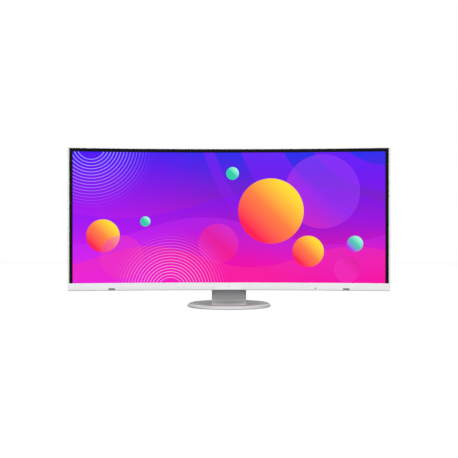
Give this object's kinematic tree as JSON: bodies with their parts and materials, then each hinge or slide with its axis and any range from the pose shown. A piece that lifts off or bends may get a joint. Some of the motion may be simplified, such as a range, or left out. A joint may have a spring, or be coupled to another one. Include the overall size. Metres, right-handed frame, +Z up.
{
  "type": "computer monitor",
  "caption": "Curved ultrawide display with a thin white cabinet on a round-based stand that lifts, tilts and swivels.",
  "frame": {"origin": "on the desk plane under the rubber feet, at the middle of the round base and of the part's own box", "axes": "+X to the viewer's right along the display's width, +Y away from the viewer (the picture faces -Y), +Z up"},
  "size_m": [0.899, 0.2422, 0.4521],
  "materials": {
    "picture_glass": "satin anti-glare",
    "black_border": "smooth black",
    "film_white": "diffuse film",
    "clear_guide": "clear acrylic",
    "lamp_board": "white solder mask",
    "inner_plastic": "moulded",
    "sheet_steel": "galvanised",
    "bezel_white": "fine satin",
    "cabinet_white": "fine grain",
    "grille_grey": "matte",
    "speaker_black": "matte",
    "circuit_green": "solder mask",
    "circuit_tan": "laminate",
    "sensor_dark": "tinted lens",
    "lamp_lens": "frosted light pipe",
    "sensor_clear": "tinted lens",
    "zinc_screws": "zinc plated",
    "plate_steel": "zinc plated",
    "component_dark": "moulded and anodised",
    "ribbon_tan": "polyimide film",
    "socket_steel": "nickel plated",
    "socket_black": "moulded",
    "contact_brass": "plated",
    "rocker_black": "polished",
    "stand_grey": "satin silver grey",
    "button_grey": "matte",
    "bright_steel": "ground",
    "washer_bronze": "oiled bronze",
    "bracket_steel": "zinc plated",
    "slider_plastic": "low friction",
    "spring_steel": "rolled",
    "holder_grey": "matte",
    "base_silver": "satin silver",
    "foot_rubber": "matte"
  },
  "bodies": {
    "turntable": {"turntable_plate": "plate_steel", "rubber_feet": "foot_rubber", "glide_ring": "slider_plastic"},
    "stand": {"base_cover": "base_silver", "base_weight": "plate_steel", "foot_cover": "stand_grey", "column_frame": "plate_steel", "column_front_cover": "stand_grey", "column_rear_cover": "stand_grey", "column_cap": "stand_grey", "guide_rails": "bright_steel", "cable_holder": "holder_grey", "holder_screws": "zinc_screws", "lift_spring_coils": "spring_steel"},
    "mast": {"mast_cover": "stand_grey", "mast_frame": "plate_steel", "carriage_blocks": "slider_plastic", "mast_screws": "zinc_screws", "hinge_bracket": "bracket_steel", "tilt_shaft": "bright_steel", "tilt_washers": "washer_bronze", "tilt_nuts": "zinc_screws", "lift_spring_strips": "spring_steel"},
    "head": {"lcd_panel": "picture_glass", "panel_frame": "black_border", "optical_films": "film_white", "light_guide": "clear_guide", "reflector_sheet": "film_white", "led_bar": "lamp_board", "mid_frame": "inner_plastic", "panel_chassis": "sheet_steel", "front_bezel": "bezel_white", "speaker_grilles": "grille_grey", "speakers": "speaker_black", "touch_key_board": "circuit_green", "light_sensor_lens": "sensor_dark", "power_lamp_lens": "lamp_lens", "presence_sensor_lens": "sensor_clear", "rear_cabinet": "cabinet_white", "cabinet_screws": "zinc_screws", "electronics_tray": "sheet_steel", "mounting_plate": "plate_steel", "main_board": "circuit_green", "power_board": "circuit_tan", "board_parts": "component_dark", "display_ribbon": "ribbon_tan", "socket_bracket": "sheet_steel", "hdmi_sockets": "socket_steel", "displayport_socket": "socket_steel", "usb_c_socket": "socket_steel", "network_socket": "socket_black", "usb_a_sockets": "socket_steel", "headphone_socket": "socket_black", "mains_inlet": "socket_black", "inlet_pins": "contact_brass", "rocker_frame": "socket_black", "release_plate": "stand_grey"},
    "release": {"release_button": "button_grey", "release_latch": "plate_steel"},
    "switch": {"power_rocker": "rocker_black"}
  },
  "joints": [
    {"name": "swivel", "type": "hinge", "parent": "turntable", "child": "stand", "pos_m": [0, 0, 0.005], "axis": [0, 0, 1], "range_deg": [-35, 35]},
    {"name": "height", "type": "slide", "parent": "stand", "child": "mast", "axis": [0, 0, 1], "range_m": [-0.033, 0.16], "deforming": ["lift_spring_strips"]},
    {"name": "tilt", "type": "hinge", "parent": "mast", "child": "head", "pos_m": [0, 0, 0.25257], "axis": [-1, 0, 0], "range_deg": [-5, 35]},
    {"name": "release_press", "type": "slide", "parent": "head", "child": "release", "axis": [0, 0, 1], "range_m": [0, 0.003], "stiffness_N_per_m": 900, "springref_m": -0.001},
    {"name": "power_switch", "type": "hinge", "parent": "head", "child": "switch", "pos_m": [-0.098, -0.034, 0.16958], "axis": [0, 1, 0], "range_deg": [-8, 8]}
  ]
}
